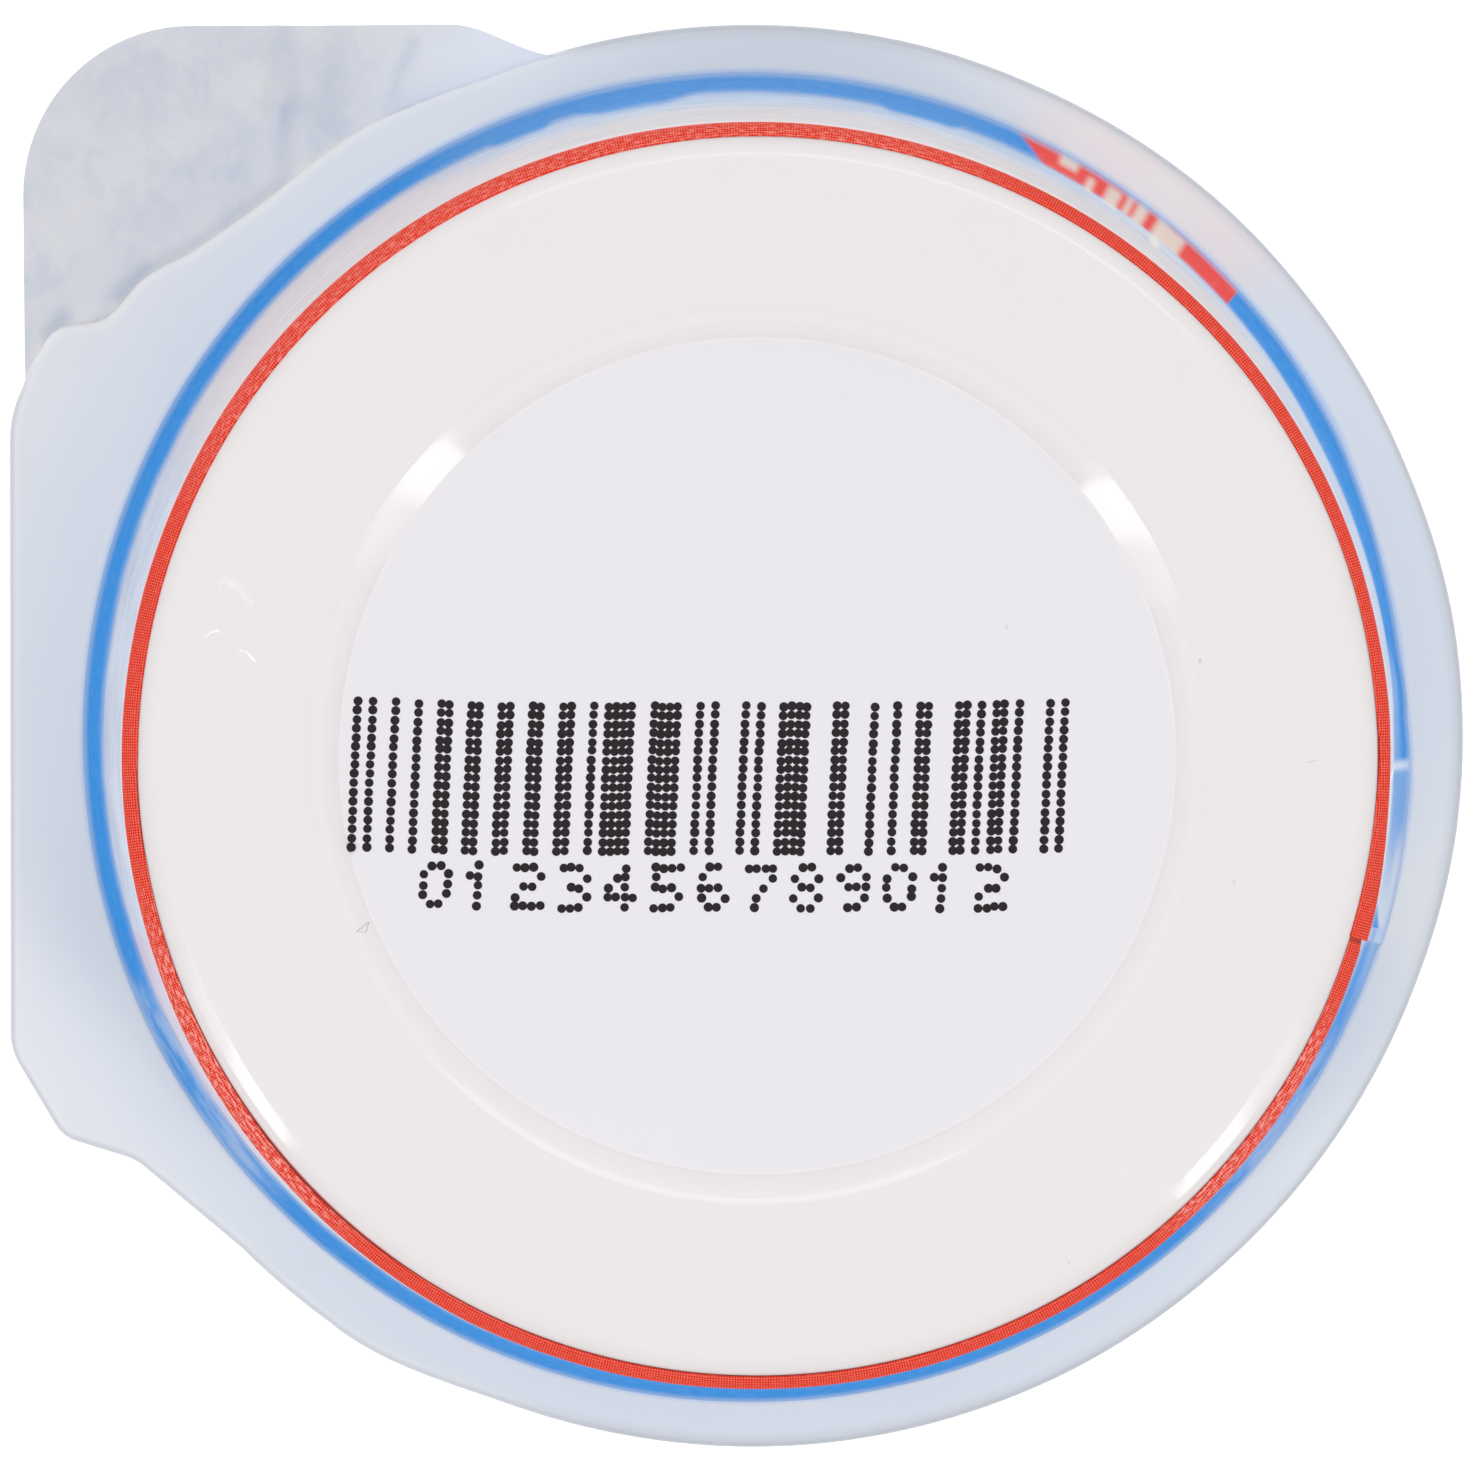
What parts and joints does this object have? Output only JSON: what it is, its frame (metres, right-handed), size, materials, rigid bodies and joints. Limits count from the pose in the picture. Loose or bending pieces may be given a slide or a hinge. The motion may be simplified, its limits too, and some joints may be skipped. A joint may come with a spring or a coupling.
{
  "type": "yogurt pot",
  "caption": "Shut round yogurt pot standing on its lid: tapered cup with recessed base, wide rim with a straight ear, paper wrap and foil lid with a peel tab.",
  "frame": {"origin": "on the pot's axis at the lid's outer face, the flat face that the pot stands on as modelled", "axes": "+Z along the pot's axis from the lid to the base, so the pot is upside down; -X towards the flange's straight-fronted ear; the peel tab points to -X +Y"},
  "size_m": [0.0766, 0.075, 0.07],
  "materials": {
    "cup_plastic": "smooth white thermoformed plastic, softly glossy and slightly see-through",
    "wrap_paper": "printed coated paper, satin, with a red edge, pale wall and a blue band",
    "lid_foil": "thin heat-sealed foil, pale grey, satin and softly crumpled",
    "print_ink": "black ink-jet dots on the base"
  },
  "bodies": {
    "root": {"cup": "cup_plastic", "sleeve": "wrap_paper", "lid": "lid_foil"}
  },
  "joints": []
}
